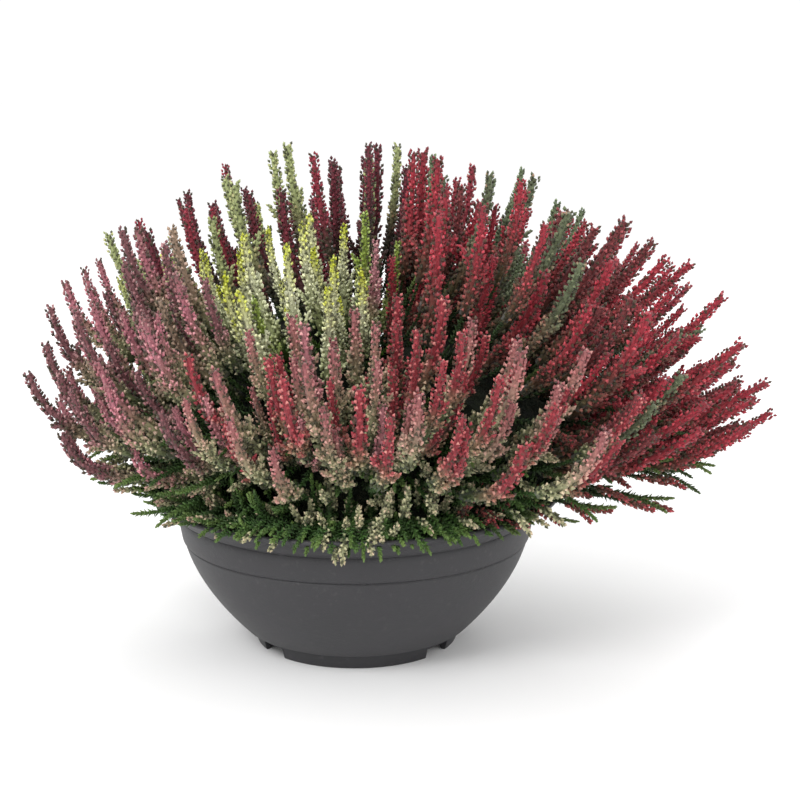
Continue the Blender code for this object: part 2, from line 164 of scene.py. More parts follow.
# Spikes: the flowers' length and the largest share of a stem that they take, their thickness
# and their needles', each between its least and its most; the shortest bare stem that gets
# needles, how far these reach in under the buds, and about a full turn in radians
FLOWER_VARIES = (0.85, 1.20)
FLOWER_MOST = 0.86
THICK_LIMITS = (0.85, 1.15)
THICK_VARIES = (0.92, 1.12)
NEEDLES_VARY = (0.90, 1.15)
BARE_STEM = 0.015
UNDER_BUDS = 0.04
TURN = 6

# Greens: the fringe over the rim and the ruff above it, as a count, the lowest and the highest
# tip and the nearest and the furthest reach; the other shoots as counts; the share of each that
# ends in a tuft of buds; and how the shoots start, lean and end. The skirt is the fringe and the
# ruff, whose reaches and starts are shares of the way from the heart to the dome's edge
FRINGE = (210, 0.106, 0.136, 0.66, 0.88)
RUFF = (130, 0.134, 0.162, 0.68, 0.84)
MOUND_SHOOTS = 300
DRAPE_SHOOTS = 300
INNER_LEAST = 12
INNER_PER_SPIKE = 1.5
INNER_TUFTS = 0.30
FRINGE_TUFTS = 0.45
RUFF_TUFTS = 0.35
MOUND_TUFTS = 0.60
DRAPE_TUFTS = 0.15
INNER_LENGTHS = (0.022, 0.042)
SKIRT_START = (0.46, 0.54)
SKIRT_RISE = (0.000, 0.014)
SKIRT_SLOPE = (-0.9, 0.3)
SKIRT_FRONT_IN = 0.10
SKIRT_FRONT_DOWN = 0.004
DRAPE_START = (0.104, 0.122)
DRAPE_RISE = 0.012
DRAPE_PAST = (0.001, 0.016)
DRAPE_LIFT = (0.000, 0.016)
DRAPE_FRONT_DOWN = 0.012
DRAPE_CLEAR = 0.006
DRAPE_STEEP = 60
MOUND_START = (0.085, 0.116)
MOUND_RISE = (0.002, 0.012)
MOUND_LEAN = (8, 66)
MOUND_LENGTHS = (0.024, 0.040)

# Straight models that are bent along each stem
MODEL_LENGTH = 0.080
SPRIG_LENGTH = 0.036
STEM_BAND = 0.014
TUFT_LENGTH = 0.022
TUFT_STRETCH = 1.2
TUFT_CLIMB = (0.05, 0.34)
SHOOT_THICK = 1.35
SPIKE_KINDS = 3
SPRIG_KINDS = 3
BUD_LENGTHS = (0.0036, 0.0048)
BUD_WIDTH = 0.78
BUD_STAND = (0.74, 1.10)
BUD_LIFT = (34, 58)
SIDE_LEAN = (20, 34)
SIDE_START = (0.02, 0.42)
SIDE_LENGTHS = (0.014, 0.024)
SIDE_BUDS = 14
TUFT_BUDS = 24
SHOOT_NEEDLES = 46
NEEDLE_LENGTHS = (0.0026, 0.0044)
NEEDLE_LIFT = (38, 62)
NEEDLE_RADIUS = 0.00088


def rgb(red, green, blue):
    """A colour from a 0 to 255 chart as the linear light that shaders take."""
    return tuple((part / 255) ** 2.2 for part in (red, green, blue)) + (1,)


# Each plant's crown in the soil, its height beside the dome's, the form of its spikes (half
# widths in metres at the foot and the tip, how many buds and how many short side spikes), the
# colours of its needles and of its palest buds, its buds' colours from a spike's foot to its
# tip, and the colours of odd spikes with the share of spikes up to each
PLANTS = {
    "pink": {
        "crown": (-0.088, -0.044), "height": 0.97, "foot": 0.0060, "tip": 0.0042, "buds": 126,
        "side": 4, "leaf": rgb(66, 96, 46), "pale": rgb(230, 196, 190),
        "colours": ((0.00, rgb(84, 98, 54)), (0.30, rgb(182, 180, 136)), (0.48, rgb(170, 128, 114)),
                    (0.72, rgb(200, 122, 136)), (0.90, rgb(184, 114, 122)), (1.00, rgb(132, 84, 84))),
        "odd": ((0.05, rgb(158, 50, 68)), (0.30, rgb(132, 82, 86)), (0.38, rgb(164, 138, 116)))},
    "blush": {
        "crown": (-0.018, -0.098), "height": 0.75, "foot": 0.0062, "tip": 0.0042, "buds": 120,
        "side": 5, "leaf": rgb(64, 98, 44), "pale": rgb(228, 206, 184),
        "colours": ((0.00, rgb(80, 102, 50)), (0.36, rgb(184, 184, 140)), (0.62, rgb(172, 138, 116)),
                    (0.85, rgb(180, 108, 110)), (1.00, rgb(150, 84, 86))),
        "odd": ((0.34, rgb(168, 58, 68)), (0.46, rgb(194, 124, 130)))},
    "lime": {
        "crown": (-0.034, -0.022), "height": 0.86, "foot": 0.0068, "tip": 0.0034, "buds": 126,
        "side": 5, "leaf": rgb(96, 134, 44), "pale": rgb(236, 238, 208),
        "colours": ((0.00, rgb(84, 118, 40)), (0.14, rgb(190, 200, 140)), (0.60, rgb(226, 228, 190)),
                    (0.80, rgb(220, 222, 150)), (0.92, rgb(202, 206, 70)), (1.00, rgb(184, 192, 30))),
        "odd": ((0.12, rgb(140, 162, 62)), (0.20, rgb(178, 118, 124)))},
    "maroon": {
        "crown": (-0.030, 0.042), "height": 1.02, "foot": 0.0056, "tip": 0.0044, "buds": 120,
        "side": 2, "leaf": rgb(46, 62, 34), "pale": rgb(152, 74, 86),
        "colours": ((0.00, rgb(60, 60, 34)), (0.30, rgb(88, 38, 44)), (0.60, rgb(120, 32, 50)),
                    (1.00, rgb(98, 28, 42))),
        "odd": ((0.42, rgb(172, 182, 122)), (0.56, rgb(146, 40, 58)))},
    "pale": {
        "crown": (-0.055, 0.088), "height": 1.06, "foot": 0.0048, "tip": 0.0036, "buds": 112,
        "side": 1, "leaf": rgb(72, 98, 48), "pale": rgb(204, 212, 160),
        "colours": ((0.00, rgb(84, 106, 54)), (0.30, rgb(146, 160, 104)), (0.70, rgb(174, 184, 128)),
                    (1.00, rgb(184, 190, 104))),
        "odd": ((0.40, rgb(118, 38, 54)),)},
    "crimson": {
        "crown": (0.066, -0.036), "height": 0.97, "foot": 0.0058, "tip": 0.0044, "buds": 126,
        "side": 3, "leaf": rgb(54, 78, 38), "pale": rgb(206, 108, 114),
        "colours": ((0.00, rgb(84, 80, 46)), (0.24, rgb(128, 74, 62)), (0.50, rgb(160, 48, 58)),
                    (0.85, rgb(176, 42, 60)), (1.00, rgb(140, 44, 54))),
        "odd": ((0.14, rgb(106, 116, 84)), (0.36, rgb(128, 54, 56)))},
    "grey": {
        "crown": (0.052, 0.078), "height": 0.99, "foot": 0.0054, "tip": 0.0040, "buds": 120,
        "side": 2, "leaf": rgb(60, 80, 46), "pale": rgb(168, 176, 138),
        "colours": ((0.00, rgb(62, 80, 44)), (0.30, rgb(92, 106, 74)), (0.70, rgb(122, 134, 98)),
                    (1.00, rgb(104, 122, 86))),
        "odd": ((0.40, rgb(150, 42, 58)),)},
    "cream": {
        "crown": (0.046, -0.094), "height": 0.77, "foot": 0.0062, "tip": 0.0042, "buds": 120,
        "side": 4, "leaf": rgb(66, 100, 44), "pale": rgb(228, 204, 182),
        "colours": ((0.00, rgb(80, 102, 52)), (0.34, rgb(190, 190, 146)), (0.58, rgb(194, 158, 138)),
                    (0.85, rgb(188, 116, 114)), (1.00, rgb(156, 90, 92))),
        "odd": ((0.60, rgb(162, 52, 62)),)},
}


# Stage

def make_camera():
    """The photograph's camera, in front of the bowl and looking a little down."""
    lens = bpy.data.cameras.new("camera")
    lens.sensor_width = SENSOR
    lens.lens = FOCAL_PIXELS / PHOTO_SIDE * SENSOR
    camera = bpy.data.objects.new("camera", lens)
    camera.location = CAMERA_PLACE
    camera.rotation_euler = (math.radians(90 - CAMERA_PITCH), 0, 0)
    bpy.context.scene.collection.objects.link(camera)
    bpy.context.scene.camera = camera


def add_light(name, place, size, power):
    """A square soft light that points at the middle of the plants."""
    light = bpy.data.lights.new(name, "AREA")
    light.shape = "SQUARE"
    light.size = size
    light.energy = power
    lamp = bpy.data.objects.new(name, light)
    lamp.location = place
    aim = LIT_PLACE - Vector(place)
    lamp.rotation_euler = aim.to_track_quat("-Z", "Y").to_euler()
    bpy.context.scene.collection.objects.link(lamp)


def make_stage():
    """Three soft lights over a pale floor, in a white room."""
    world = bpy.data.worlds.new("studio")
    world.use_nodes = True
    background = world.node_tree.nodes["Background"]
    background.inputs["Color"].default_value = (1, 1, 1, 1)
    background.inputs["Strength"].default_value = WORLD_STRENGTH
    bpy.context.scene.world = world
    bpy.context.scene.view_settings.view_transform = "Standard"
    for name, (place, size, power) in LIGHTS.items():
        add_light(name, place, size, power)
    bm = bmesh.new()
    bmesh.ops.create_circle(bm, cap_ends=True, segments=96, radius=FLOOR_RADIUS)
    floor = new_piece("floor", bm, floor_finish())


# Materials

class Socket:
    """A shader output on which plain arithmetic adds Math nodes."""

    def __init__(self, finish, output):
        self.finish = finish
        self.output = output

    def maths(self, operation, first, second):
        return self.finish.node("ShaderNodeMath", {"operation": operation}, {0: first, 1: second})

    def __add__(self, other):
        return self.maths("ADD", self, other)

    def __sub__(self, other):
        return self.maths("SUBTRACT", self, other)

    def __rsub__(self, other):
        return self.maths("SUBTRACT", other, self)

    def __mul__(self, other):
        return self.maths("MULTIPLY", self, other)

    def __lt__(self, other):
        return self.maths("LESS_THAN", self, other)

    __radd__ = __add__
    __rmul__ = __mul__


class Finish:
    """A procedural material in the making."""

    def __init__(self, name, **fixed):
        self.material = bpy.data.materials.new(name)
        self.material.use_nodes = True
        self.tree = self.material.node_tree
        self.shader = self.tree.nodes["Principled BSDF"]
        for socket, value in fixed.items():
            self.shader.inputs[socket.replace("_", " ")].default_value = value

    def node(self, kind, settings=None, inputs=None, output=0):
        """Adds a node; a ramp's stops are the setting "stops"."""
        made = self.tree.nodes.new(kind)
        for key, value in (settings or {}).items():
            if key == "stops":
                self.set_stops(made.color_ramp, value)
            else:
                setattr(made, key, value)
        for key, value in (inputs or {}).items():
            self.feed(made.inputs[key], value)
        return Socket(self, made.outputs[output])

    @staticmethod
    def set_stops(ramp, stops):
        while len(ramp.elements) < len(stops):
            ramp.elements.new(0.5)
        for element, (place, colour) in zip(ramp.elements, stops):
            element.position = place
            element.color = colour

    def feed(self, target, value):
        if isinstance(value, Socket):
            self.tree.links.new(value.output, target)
        else:
            target.default_value = value

    def set(self, name, value):
        self.feed(self.shader.inputs[name], value)

    def ramp(self, factor, stops):
        return self.node("ShaderNodeValToRGB", {"stops": stops}, {"Fac": factor})

    def blend(self, factor, first, second):
        return self.node("ShaderNodeMix", {"data_type": "RGBA", "clamp_factor": True},
                         {0: factor, 6: first, 7: second}, output=2)

    def brighten(self, colour, value):
        return self.node("ShaderNodeHueSaturation", None, {"Color": colour, "Value": value})

    def noise(self, scale, detail=2.0):
        place = self.node("ShaderNodeTexCoord", output="Object")
        return self.node("ShaderNodeTexNoise", None,
                         {"Vector": place, "Scale": scale, "Detail": detail}, output="Fac")

    def bump(self, height, distance):
        self.set("Normal", self.node("ShaderNodeBump", None, {"Height": height, "Distance": distance}))

    def look(self):
        """A plant part's own tone, which for buds also holds painted shade towards each bud's root,
        its height on the stem and the stem's tint, each 0 to 1.
        """
        stored = self.node("ShaderNodeAttribute", {"attribute_name": "look"}, output="Vector")
        return [self.node("ShaderNodeSeparateXYZ", None, {0: stored}, output=i) for i in range(3)]


def floor_finish():
    finish = Finish("pale_floor", Roughness=0.9)
    cloud = finish.noise(3.0)
    finish.set("Base Color", finish.blend(cloud, rgb(250, 250, 250), rgb(253, 253, 253)))
    return finish.material


def bud_finish(name, plant):
    """Buds in their plant's colours from the foot of a spike to its tip, each in its own tone,
    darkened and dulled towards each bud's root as painted shade.
    """
    finish = Finish(name + "_buds", Roughness=0.72, Sheen_Weight=0.15)
    tone, height, tint = finish.look()
    mottle = finish.noise(420.0)
    climb = height + (tone - 0.5) * 0.30 + (tint - 0.5) * 0.22
    colour = finish.ramp(climb, plant["colours"])
    risen = (height - 0.18) * 3.0
    under = 0.0
    for share, odd in plant["odd"]:
        colour = finish.blend((tint < share) * (1 - (tint < under)) * risen, colour, odd)
        under = share
    # Sepal colour where the tone is low: on real sepals, and on each bud's root in painted shade.
    sepal_and_shade = (tone < 0.20) * 0.75
    colour = finish.blend(sepal_and_shade, colour, rgb(84, 84, 50))
    # The palest colour and the brightness follow the tone as well, so each bud stays in painted shade
    # towards its root.
    colour = finish.blend(tone - 0.6, colour, plant["pale"])
    finish.set("Base Color", finish.brighten(colour, tone * 1.15 + mottle * 0.4 + 0.16))
    finish.bump(mottle, 0.0006)
    return finish.material


def leaf_finish(name, plant):
    """Needles, darkened inside the plant as painted shade, near-black low on each stem and shoot, and
    lighter and yellower to the end of a shoot.
    """
    finish = Finish(name + "_needles", Roughness=0.62)
    tone, height, tint = finish.look()
    mottle = finish.noise(300.0)
    # Painted shade: near-black greens for the needles low on each stem and shoot, inside the plant.
    inside = finish.blend(tone, rgb(22, 34, 18), rgb(48, 68, 32))
    colour = finish.blend(height * 0.9 + (tint - 0.5) * 0.5 + 0.15, inside, plant["leaf"])
    colour = finish.blend((height - 0.7) * 1.6 * tint, colour, rgb(150, 172, 92))
    finish.set("Base Color", finish.brighten(colour, tone * 0.6 + mottle * 0.4 + 0.45))
    finish.bump(mottle, 0.0004)
    return finish.material


def shade_finish():
    """Painted shade inside the plants: a near-black sheet where the gaps between the shoots fall into
    shade, mottled by noise.
    """
    finish = Finish("painted_shade_core", Roughness=0.95)
    coarse = finish.noise(120.0, 4.0)
    fine = finish.noise(600.0, 3.0)
    colour = finish.ramp(coarse * 0.6 + fine * 0.4, ((0.35, rgb(12, 16, 9)), (0.55, rgb(26, 34, 18)),
                                                     (0.70, rgb(48, 44, 28))))
    finish.set("Base Color", colour)
    finish.bump(fine, 0.003)
    return finish.material


def plastic_finish():
    """Matte moulded plastic: a fine grain, faint clouding and dry traces of dust."""
    finish = Finish("grey_plastic_grain", Roughness=0.5)
    cloud = finish.noise(14.0, 4.0)
    grain = finish.noise(1500.0, 2.0)
    specks = finish.noise(260.0, 3.0)
    colour = finish.blend(cloud, rgb(44, 44, 46), rgb(55, 54, 57))
    colour = finish.blend((specks - 0.60) * 2.0, colour, rgb(84, 82, 82))
    finish.set("Base Color", finish.brighten(colour, grain * 0.25 + 0.875))
    finish.set("Roughness", cloud * 0.16 + grain * 0.12 + 0.38)
    finish.bump(grain * 0.7 + specks * 0.3, 0.0004)
    return finish.material


def soil_finish():
    """Damp peat with lighter fibres and crumbs."""
    finish = Finish("peat", Roughness=0.95)
    crumbs = finish.noise(220.0, 6.0)
    fibres = finish.noise(900.0, 3.0)
    colour = finish.ramp(crumbs, ((0.30, rgb(24, 18, 13)), (0.55, rgb(52, 38, 27)),
                                  (0.72, rgb(86, 66, 46))))
    finish.set("Base Color", finish.brighten(colour, fibres + 0.5))
    finish.bump(crumbs * 0.6 + fibres * 0.4, 0.004)
    return finish.material


# Making and joining meshes

def new_piece(name, bm, *finishes):
    mesh = bpy.data.meshes.new(name)
    bm.to_mesh(mesh)
    bm.free()
    for finish in finishes:
        mesh.materials.append(finish)
    piece = bpy.data.objects.new(name, mesh)
    bpy.context.scene.collection.objects.link(piece)
    return piece


def settle(piece, node, slot):
    """The piece stands for a solid of the frame, whose part it hides; the slot is not used."""
    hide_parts(node)
    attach(piece, "root")


def cut(target, cutters):
    """Cuts all the cutters out of the target, then removes them."""
    group = bpy.data.collections.new("cutters")
    for cutter in cutters:
        group.objects.link(cutter)
    boolean = target.modifiers.new("cut", "BOOLEAN")
    boolean.operand_type = "COLLECTION"
    boolean.collection = group
    boolean.operation = "DIFFERENCE"
    boolean.solver = "EXACT"
    bpy.context.view_layer.update()
    evaluated = target.evaluated_get(bpy.context.evaluated_depsgraph_get())
    result = bpy.data.meshes.new_from_object(evaluated)
    target.modifiers.clear()
    target.data = result
    for cutter in cutters:
        bpy.data.objects.remove(cutter)
    bpy.data.collections.remove(group)


# Bowl and soil

def bowl_side(count, inwards=0.0, upwards=0.0):
    """The bowl's rounded side from its base to the flared band, as (radius, height) points."""
    side = []
    for i in range(count + 1):
        share = (i / count) ** 1.6
        side.append((BASE_RADIUS + (BAND_RADIUS - BASE_RADIUS) * (1 - (1 - share) ** 1.9) - inwards,
                     BASE_HEIGHT + (BAND_HEIGHT - BASE_HEIGHT) * share + upwards))
    return side


def bowl_foot():
    """The section's underside from the axis out: the standing pad, then the foot ring."""
    under = BASE_HEIGHT - FLOOR
    inner = FOOT_RADIUS - FOOT_WIDTH
    return [(0, 0), (PAD_RADIUS - EDGE, 0), (PAD_RADIUS, EDGE), (PAD_RADIUS + FOOT_SLOPE, under),
            (inner, under), (inner, EDGE), (inner + EDGE, 0), (FOOT_RADIUS - EDGE, 0),
            (FOOT_RADIUS, EDGE), (FOOT_RADIUS + FOOT_SLOPE, under)]


def rounded(radius, height, steps):
    """The points of one rounded corner."""
    return [(radius + out, height + up) for out, up in steps]


def bowl_profile():
    """The bowl's section: foot, rounded side with a groove under its step, band, lip, inside."""
    side = bowl_side(SIDE_RINGS)
    below = [(r, z) for r, z in side if z < STEP_HEIGHT - BELOW_STEP]
    above = [(r + STEP_DEPTH, z) for r, z in side if STEP_HEIGHT < z < BAND_HEIGHT - BELOW_BAND]
    step_radius = np.interp(STEP_HEIGHT, [z for r, z in side], [r for r, z in side])
    step = rounded(step_radius, STEP_HEIGHT, STEP_GROOVE)
    band = rounded(BAND_RADIUS + STEP_DEPTH, BAND_HEIGHT, BAND_GROOVE)
    band += rounded(BAND_RADIUS + SHOULDER, BAND_HEIGHT, BAND_SHOULDER)
    lip = rounded(RIM_RADIUS, RIM_HEIGHT, RIM_LIP)
    inside = rounded(BAND_RADIUS + SHOULDER - WALL, BAND_HEIGHT, INNER_LIP)
    inside += reversed(bowl_side(INSIDE_RINGS, inwards=WALL, upwards=WALL_RISE))
    return bowl_foot() + below + step + above + band + lip + inside + [(0, BASE_HEIGHT)]


def spin_profile(profile, segments):
    """Turns a profile that starts and ends on the axis into one closed solid."""
    bm = bmesh.new()
    verts = [bm.verts.new((r, 0, z)) for r, z in profile]
    edges = [bm.edges.new(pair) for pair in zip(verts, verts[1:])]
    bmesh.ops.spin(bm, geom=verts + edges, cent=(0, 0, 0), axis=(0, 0, 1), angle=math.tau,
                   steps=segments, use_merge=True, use_duplicate=False)
    bmesh.ops.remove_doubles(bm, verts=bm.verts, dist=0.00001)
    bmesh.ops.recalc_face_normals(bm, faces=bm.faces)
    return bm


def drain(turn):
    """A peg that cuts one drain hole through the floor."""
    bm = bmesh.new()
    place = (DRAIN_CIRCLE * math.cos(turn), DRAIN_CIRCLE * math.sin(turn), BASE_HEIGHT / 2)
    bmesh.ops.create_cone(bm, cap_ends=True, segments=DRAIN_SEGMENTS, radius1=DRAIN_RADIUS,
                          radius2=DRAIN_RADIUS, depth=BASE_HEIGHT * 2,
                          matrix=Matrix.Translation(place))
    return new_piece("drain", bm)


def foot_gap(angle):
    """A block that cuts one gap through the foot ring."""
    bm = bmesh.new()
    bmesh.ops.create_cube(bm, size=1)
    bmesh.ops.scale(bm, vec=(FOOT_GAP_LENGTH, FOOT_GAP_WIDTH, FOOT_GAP_DEPTH), verts=bm.verts)
    bmesh.ops.translate(bm, vec=(FOOT_RADIUS, 0, -FOOT_GAP_SINK), verts=bm.verts)
    bmesh.ops.rotate(bm, cent=(0, 0, 0), matrix=Matrix.Rotation(math.radians(angle), 3, "Z"),
                     verts=bm.verts)
    return new_piece("foot_gap", bm)


def make_bowl():
    bowl = new_piece("bowl", spin_profile(bowl_profile(), BOWL_SEGMENTS), plastic_finish())
    cut(bowl, [foot_gap(angle) for angle in FOOT_GAPS]
        + [drain(math.tau * i / DRAINS) for i in range(DRAINS)])
    bowl.data.shade_smooth()
    bowl.data.set_sharp_from_angle(angle=math.radians(SHARP_ANGLE))
    settle(bowl, "pot", "grey_plastic")


def make_soil():
    """Crumbly potting soil: a smooth underside in the bowl and a lumpy top."""
    wall = bowl_side(SOIL_SIDE_RINGS, inwards=WALL + SOIL_CLEAR, upwards=WALL_RISE + FIT)
    edge = BAND_RADIUS - WALL - SOIL_CLEAR
    low = SOIL_TOP - SOIL_EDGE_DROP
    top = [(SOIL_FLAT * (1 - i / SOIL_RINGS), SOIL_LEVEL) for i in range(SOIL_RINGS)]
    profile = [(0, BASE_HEIGHT + FIT)] + wall + [(edge, low)] + top
    bm = spin_profile(profile + [(0, SOIL_LEVEL)], SOIL_SEGMENTS)
    for vert in bm.verts:
        if vert.co.z > low - LUMP_EDGE and vert.co.xy.length < SOIL_FLAT + LUMP_EDGE:
            vert.co.z += sum(noise.noise(vert.co * scale) * height for scale, height in LUMPS)
    soil = new_piece("peat_top", bm, soil_finish())
    soil.data.shade_smooth()
    settle(soil, "soil", "dark_soil")


# Layout of the spikes and shoots

def dome_point(polar, azimuth, height):
    """A point of the dome that the tips lie on; azimuth 0 is +X, and -90 degrees the front."""
    right = max(math.cos(azimuth), 0) ** 2
    spread = math.sin(min(polar, math.pi / 2)) ** (SPREAD + SPREAD_RIGHT * right)
    reach_x = REACH_RIGHT if math.cos(azimuth) > 0 else REACH_LEFT
    reach_y = REACH_BACK if math.sin(azimuth) > 0 else REACH_FRONT
    left = max(-math.cos(azimuth), 0) ** 2
    rise = max(math.cos(polar), 0) ** (RISE + RISE_RIGHT * right + RISE_LEFT * left)
    low = TIP_LOW + LIFT_FRONT * max(-math.sin(azimuth), 0) ** 2
    return Vector((DOME_SHIFT + reach_x * spread * math.cos(azimuth),
                   reach_y * spread * math.sin(azimuth),
                   low + (TIP_HIGH * height - low) * rise))


def lean_of(polar, azimuth):
    """How far a spike at this place leans out from upright, in radians."""
    across = math.cos(azimuth) ** 2
    sideways = LEAN_RIGHT if math.cos(azimuth) > 0 else LEAN_LEFT
    forwards = LEAN_BACK if math.sin(azimuth) > 0 else LEAN_FRONT
    lean = sideways * across + forwards * (1 - across)
    return math.radians(lean) * math.sin(min(polar, math.pi / 2)) ** LEAN_GROWTH


def root_of(tip, scale=CORE_SCALE):
    """Where a spike with this tip leaves its plant, which is lower towards the front."""
    root = HEART.lerp(tip, scale)
    root.z -= SINK_FRONT * max(-tip.y, 0) / REACH_FRONT
    return root


def plant_at(point):
    """The plant whose crown is nearest to the place under this point of the dome."""
    foot = HEART.lerp(point, CORE_SCALE)
    return min(PLANTS, key=lambda name: (Vector(PLANTS[name]["crown"]) - foot.xy).length)


def way_of(lean, side):
    return Vector((math.sin(lean) * math.cos(side), math.sin(lean) * math.sin(side), math.cos(lean)))


def spread_tips(count, seed, near, far, start=0.0):
    """Tips at even spacing over the dome, by the golden angle, each with its direction."""
    draw = random.Random(seed)
    tips = {name: [] for name in PLANTS}
    low = math.cos(math.radians(LOWEST))
    for i in range(count):
        share = ((i + 0.5) / count) ** CROWDING
        polar = math.acos(1 - share * (1 - low)) + math.radians(draw.uniform(-JITTER, JITTER))
        azimuth = i * GOLDEN + start + math.radians(draw.uniform(-JITTER, JITTER))
        name = plant_at(dome_point(abs(polar), azimuth, 1))
        tip = dome_point(abs(polar), azimuth, PLANTS[name]["height"])
        tip = HEART.lerp(tip, draw.uniform(near, far))
        lean = lean_of(abs(polar), azimuth) + math.radians(draw.uniform(-LEAN_JITTER, LEAN_JITTER))
        side = azimuth + math.radians(draw.uniform(-SIDE_JITTER, SIDE_JITTER))
        tips[name].append((tip, way_of(lean, side)))
    return tips


def group_sprays(tips):
    """Takes the outermost tip left and its nearest neighbours as one spray, until none is left."""
    left = list(tips)
    sprays = []
    while left:
        outer = max(left, key=lambda one: (one[0].xy - HEART.xy).length)
        left.sort(key=lambda one: (one[0] - outer[0]).length)
        sprays.append(left[:SPRAY_SIZE])
        left = left[SPRAY_SIZE:]
    return sprays


def middle_of(spray):
    return sum((tip for tip, way in spray), Vector()) / len(spray)


def path_of(start, tip, way, count=20):
    """Points from a stem's start to its tip, which it reaches along its way."""
    bend = tip - way * (tip - start).length * BOW
    points = []
    for i in range(count):
        share = i / (count - 1)
        points.append(start.lerp(bend, share).lerp(bend.lerp(tip, share), share))
    return np.array([tuple(point) for point in points])


# Straight models of a bud spike and a leafy shoot

def turned_to(way):
    return way.to_track_quat("Z", "Y").to_matrix().to_4x4()


def paint(verts, layer, tone, height):
    for vert in verts:
        vert[layer] = (tone, height, 0)


def model_mesh(bm):
    mesh = bpy.data.meshes.new("model")
    bm.to_mesh(mesh)
    bm.free()
    return mesh


def add_stem(bm, start, end, low, high, model_length, tone=0.3):
    """A slim stem between two points, in bands so that it bends with its spike."""
    stem = bmesh.new()
    layer = stem.verts.layers.float_vector.new("look")
    way = end - start
    place = Matrix.Translation((start + end) / 2) @ turned_to(way)
    bmesh.ops.create_cone(stem, cap_ends=True, segments=4, radius1=low, radius2=high,
                          depth=way.length)
    sides = [edge for edge in stem.edges if edge.calc_length() > way.length * 0.9]
    bmesh.ops.subdivide_edges(stem, edges=sides, cuts=round(way.length / STEM_BAND))
    bmesh.ops.transform(stem, matrix=place, verts=stem.verts)
    for vert in stem.verts:
        vert[layer] = (tone, vert.co.z / model_length, 0)
    mesh = model_mesh(stem)
    bm.from_mesh(mesh)
    bpy.data.meshes.remove(mesh)


def add_bud(bm, layer, place, way, length, width, tone, height):
    """One plump bud, rooted at its place and pointing its way; its tone is painted darker towards its
    root, as painted shade.
    """
    size = Matrix.Diagonal((width / 2, width / 2, length / 2, 1))
    matrix = Matrix.Translation(place + way * length * 0.42) @ turned_to(way) @ size
    made = bmesh.ops.create_uvsphere(bm, u_segments=3, v_segments=2, radius=1, matrix=matrix)
    for vert in made["verts"]:
        # Painted shade: the tone falls towards the bud's root, deep among the other buds.
        along = (vert.co - place).dot(way) / length
        vert[layer] = (tone * min(max(0.35 + along, 0), 1), height, 0)


def add_buds(bm, layer, draw, start, way, length, count, foot, tip, share_low, share_high):
    """Buds in a spiral round a stem, standing out and up, smaller and closer to its tip."""
    turn = turned_to(way)
    for i in range(count):
        share = ((i + 0.5) / count) ** 0.92
        angle = i * GOLDEN + draw.uniform(-0.3, 0.3)
        reach = foot + (tip - foot) * share ** 1.3
        lift = math.radians(draw.uniform(*BUD_LIFT) * (1 - 0.55 * share ** 3))
        out = turn @ Vector((math.cos(angle), math.sin(angle), 0))
        aim = (out * math.sin(lift) + way * math.cos(lift)).normalized()
        size = draw.uniform(*BUD_LENGTHS) * (1 - 0.28 * share ** 2)
        stand = max(reach * draw.uniform(*BUD_STAND) - size * 0.7, 0.0004)
        place = start + way * (length - 0.003) * share + out * stand
        add_bud(bm, layer, place, aim, size, size * BUD_WIDTH, draw.random(),
                share_low + (share_high - share_low) * share)


def bud_spike(form, draw):
    """A spike of buds from height 0 to MODEL_LENGTH, with short side spikes on its lower half."""
    bm = bmesh.new()
    layer = bm.verts.layers.float_vector.new("look")
    up = Vector((0, 0, 1))
    add_stem(bm, Vector(), up * MODEL_LENGTH * 0.95, form["foot"] * 0.5, form["tip"] * 0.4,
             MODEL_LENGTH)
    add_buds(bm, layer, draw, Vector(), up, MODEL_LENGTH, form["buds"], form["foot"], form["tip"],
             0, 1)
    for i in range(form["side"]):
        angle = i * GOLDEN + draw.uniform(0, TURN)
        lean = math.radians(draw.uniform(*SIDE_LEAN))
        way = way_of(lean, angle)
        start = up * MODEL_LENGTH * draw.uniform(*SIDE_START)
        length = draw.uniform(*SIDE_LENGTHS)
        share = start.z / MODEL_LENGTH
        add_stem(bm, start, start + way * length * 0.9, 0.0014, 0.0010, MODEL_LENGTH)
        add_buds(bm, layer, draw, start, way, length, SIDE_BUDS, 0.0036, 0.0026, share, share + 0.25)
    return model_mesh(bm)


def bud_tuft(draw):
    """A short tuft of pale young buds from height 0 to TUFT_LENGTH."""
    bm = bmesh.new()
    layer = bm.verts.layers.float_vector.new("look")
    up = Vector((0, 0, 1))
    add_stem(bm, Vector(), up * TUFT_LENGTH * 0.9, 0.0012, 0.0008, TUFT_LENGTH)
    add_buds(bm, layer, draw, Vector(), up, TUFT_LENGTH, TUFT_BUDS, 0.0040, 0.0024, 0, 1)
    return model_mesh(bm)


def leafy_shoot(draw):
    """A shoot of needles in a spiral from height 0 to SPRIG_LENGTH."""
    bm = bmesh.new()
    layer = bm.verts.layers.float_vector.new("look")
    add_stem(bm, Vector(), Vector((0, 0, SPRIG_LENGTH * 0.96)), 0.0007, 0.0004, SPRIG_LENGTH)
    for i in range(SHOOT_NEEDLES):
        share = (i + 0.5) / SHOOT_NEEDLES
        angle = i * GOLDEN
        lift = math.radians(draw.uniform(*NEEDLE_LIFT) * (1 - 0.6 * share ** 3))
        way = way_of(lift, angle)
        length = draw.uniform(*NEEDLE_LENGTHS) * (1 - 0.35 * share ** 2)
        place = Vector((0, 0, (SPRIG_LENGTH - 0.003) * share)) + way * length / 2
        made = bmesh.ops.create_cone(bm, cap_ends=True, segments=3, radius1=NEEDLE_RADIUS, radius2=0,
                                     depth=length, matrix=Matrix.Translation(place) @ turned_to(way))
        paint(made["verts"], layer, draw.random(), share)
    return model_mesh(bm)


def unit(rows):
    return rows / np.linalg.norm(rows, axis=1)[:, None]


def read_rows(items, key):
    """The place or the look of each vertex, one to a row."""
    rows = np.empty(len(items) * 3, dtype=np.float32)
    items.foreach_get(key, rows)
    return rows.reshape(-1, 3)


